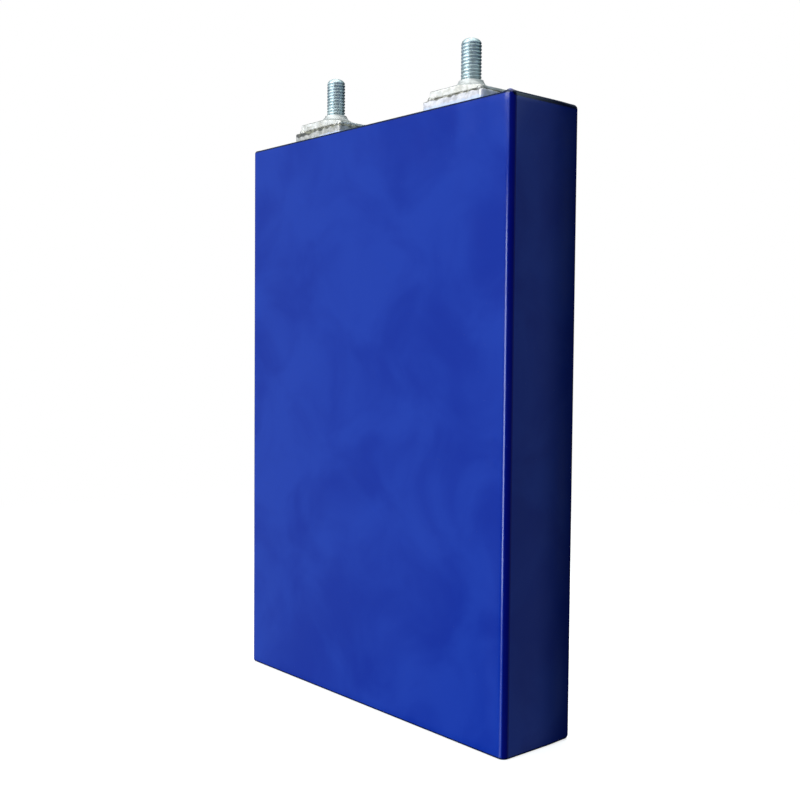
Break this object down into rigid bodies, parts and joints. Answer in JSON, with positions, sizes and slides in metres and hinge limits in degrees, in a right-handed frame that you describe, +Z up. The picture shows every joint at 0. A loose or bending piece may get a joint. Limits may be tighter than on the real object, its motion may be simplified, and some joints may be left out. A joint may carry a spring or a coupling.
{
  "type": "prismatic battery cell",
  "caption": "Flat upright battery cell in a glossy blue shrink film, with threaded steel studs welded on aluminium terminal blocks on top.",
  "frame": {"origin": "middle of the base of the film sleeve, on the surface that the cell stands on", "axes": "+X along the width, +Y through the thickness, +Z up towards the terminals"},
  "size_m": [0.124, 0.028, 0.2018],
  "materials": {
    "film": "glossy royal blue shrink film",
    "sheet": "satin blue insulating sheet",
    "clear_film": "thin pale film",
    "aluminium": "bright rough aluminium, machined and laser welded",
    "copper": "bare copper, satin",
    "stud_steel": "bluish zinc plating",
    "insulator": "moulded black plastic",
    "seal": "natural fluoroplastic",
    "bag": "pale blue insulating film",
    "roll": "wound electrode and separator, dark grey"
  },
  "bodies": {
    "root": {"wrap_film": "film", "bottom_sheet": "sheet", "top_sheet": "sheet", "can": "aluminium", "lid": "aluminium", "vent_disc": "aluminium", "vent_cover_film": "clear_film", "fill_cap": "aluminium", "fill_seal_pin": "seal", "bottom_tray": "insulator", "core_bag": "bag", "jelly_roll_front": "roll", "jelly_roll_back": "roll", "positive_stud": "stud_steel", "positive_stud_base": "aluminium", "positive_terminal_block": "aluminium", "positive_outer_insulator": "insulator", "positive_pole": "aluminium", "positive_seal_ring": "seal", "positive_inner_insulator": "insulator", "positive_connector": "aluminium", "positive_tab_front": "aluminium", "positive_tab_back": "aluminium", "negative_stud": "stud_steel", "negative_stud_base": "aluminium", "negative_terminal_block": "aluminium", "negative_outer_insulator": "insulator", "negative_pole": "copper", "negative_seal_ring": "seal", "negative_inner_insulator": "insulator", "negative_connector": "copper", "negative_tab_front": "copper", "negative_tab_back": "copper"}
  },
  "joints": []
}
